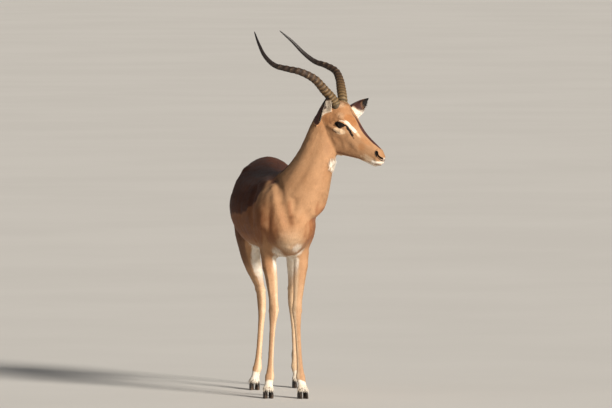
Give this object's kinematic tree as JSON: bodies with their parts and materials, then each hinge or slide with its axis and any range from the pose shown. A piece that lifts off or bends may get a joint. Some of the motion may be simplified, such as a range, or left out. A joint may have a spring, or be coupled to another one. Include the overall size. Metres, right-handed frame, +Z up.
{
  "type": "impala ram figure",
  "caption": "Life-size standing antelope ram with lyre-shaped ringed horns, head turned to its left, for museum, park or film sets.",
  "frame": {"origin": "on the floor, at the middle of the whole figure's bounding box", "axes": "+Z up, -Y the way the animal's body faces, +X to its left"},
  "size_m": [0.5504, 0.9394, 1.4308],
  "materials": {
    "coat": "short tan to reddish-brown hair, darker on the back, white below",
    "pale_coat": "short pale tan hair on the lower legs, white above the hooves",
    "horn": "ringed horn, yellow-brown at the base and nearly black at the smooth tips",
    "hoof": "smooth black horn",
    "eye": "wet dark brown, nearly black"
  },
  "bodies": {
    "root": {"trunk": "coat", "neck": "coat", "head": "coat", "tail": "coat", "ear_left": "coat", "ear_right": "coat", "eye_left": "eye", "eye_right": "eye", "horn_left": "horn", "horn_right": "horn", "foreleg_left": "coat", "foreleg_left_cannon": "pale_coat", "foreleg_left_pastern": "pale_coat", "foreleg_left_claw_outer": "hoof", "foreleg_left_claw_inner": "hoof", "foreleg_right": "coat", "foreleg_right_cannon": "pale_coat", "foreleg_right_pastern": "pale_coat", "foreleg_right_claw_outer": "hoof", "foreleg_right_claw_inner": "hoof", "hind_leg_left": "coat", "hind_leg_left_cannon": "pale_coat", "hind_leg_left_pastern": "pale_coat", "hind_leg_left_claw_outer": "hoof", "hind_leg_left_claw_inner": "hoof", "hind_leg_right": "coat", "hind_leg_right_cannon": "pale_coat", "hind_leg_right_pastern": "pale_coat", "hind_leg_right_claw_outer": "hoof", "hind_leg_right_claw_inner": "hoof"}
  },
  "joints": []
}
